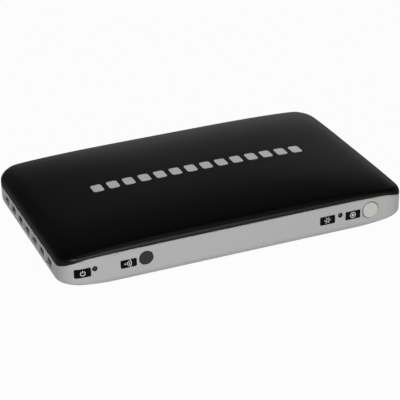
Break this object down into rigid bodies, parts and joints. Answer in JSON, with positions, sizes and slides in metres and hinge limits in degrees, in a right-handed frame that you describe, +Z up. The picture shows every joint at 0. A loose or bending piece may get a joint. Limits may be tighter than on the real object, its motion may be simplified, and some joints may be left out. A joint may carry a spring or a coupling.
{
  "type": "hdmi recorder",
  "caption": "Small free-standing HDMI video recorder box: crowned black cover on a silver case, record button, infrared window and lights in front, sockets at the rear.",
  "frame": {"origin": "on the surface it stands on, under the middle of the box", "axes": "+X along the width, to the right seen from the front; the front wall faces -Y; +Z up"},
  "size_m": [0.15, 0.0932, 0.0197],
  "materials": {
    "cover_black": "satin black moulding",
    "case_silver": "fine silver paint on a moulding",
    "button_white": "warm white moulded key",
    "plunger_white": "plain white nylon",
    "window_dark": "smoked translucent window",
    "pipe_clear": "clear acrylic",
    "led_lens": "milky clear epoxy",
    "board_green": "green solder mask",
    "screw_steel": "zinc plated steel",
    "foot_rubber": "black rubber",
    "sheet_steel": "nickel plated sheet",
    "socket_black": "black glass-filled plastic",
    "contact_gold": "gold flash",
    "chip_black": "black moulding compound",
    "bush_nickel": "nickel plate",
    "pad_grey": "soft thermal pad",
    "sink_aluminium": "plain extruded aluminium",
    "can_steel": "drawn can",
    "ferrite_grey": "sintered ferrite",
    "can_aluminium": "drawn aluminium can"
  },
  "bodies": {
    "case": {"top_cover": "cover_black", "lower_case": "case_silver", "tact_switch_body": "chip_black", "tact_switch_cover": "sheet_steel", "ir_window": "window_dark", "ir_receiver": "chip_black", "power_light_pipe": "pipe_clear", "rec_light_pipe": "pipe_clear", "power_led": "led_lens", "rec_led": "led_lens", "led_legs": "sheet_steel", "main_board": "board_green", "board_screws": "screw_steel", "case_screws": "screw_steel", "foot_front_left": "foot_rubber", "foot_front_right": "foot_rubber", "foot_rear_left": "foot_rubber", "foot_rear_right": "foot_rubber", "hdmi_in_shell": "sheet_steel", "hdmi_in_tongue": "socket_black", "hdmi_in_contacts": "contact_gold", "hdmi_out_shell": "sheet_steel", "hdmi_out_tongue": "socket_black", "hdmi_out_contacts": "contact_gold", "usb_shell": "sheet_steel", "usb_tongue": "socket_black", "usb_contacts": "contact_gold", "mic_jack_housing": "socket_black", "mic_jack_bush": "bush_nickel", "dc_jack_housing": "socket_black", "dc_jack_pin": "bush_nickel", "encoder_chip": "chip_black", "thermal_pad": "pad_grey", "heat_sink": "sink_aluminium", "memory_chip_rear": "chip_black", "memory_chip_front": "chip_black", "flash_chip": "chip_black", "hdmi_receiver_chip": "chip_black", "hdmi_driver_chip": "chip_black", "audio_codec_chip": "chip_black", "crystal": "can_steel", "power_inductors": "ferrite_grey", "filter_capacitors": "can_aluminium"},
    "rec_key": {"rec_button": "button_white", "tact_plunger": "plunger_white"}
  },
  "joints": [
    {"name": "rec_press", "type": "slide", "parent": "case", "child": "rec_key", "axis": [0, 1, 0], "range_m": [0, 0.0004], "stiffness_N_per_m": 1500, "springref_m": -0.0006}
  ]
}
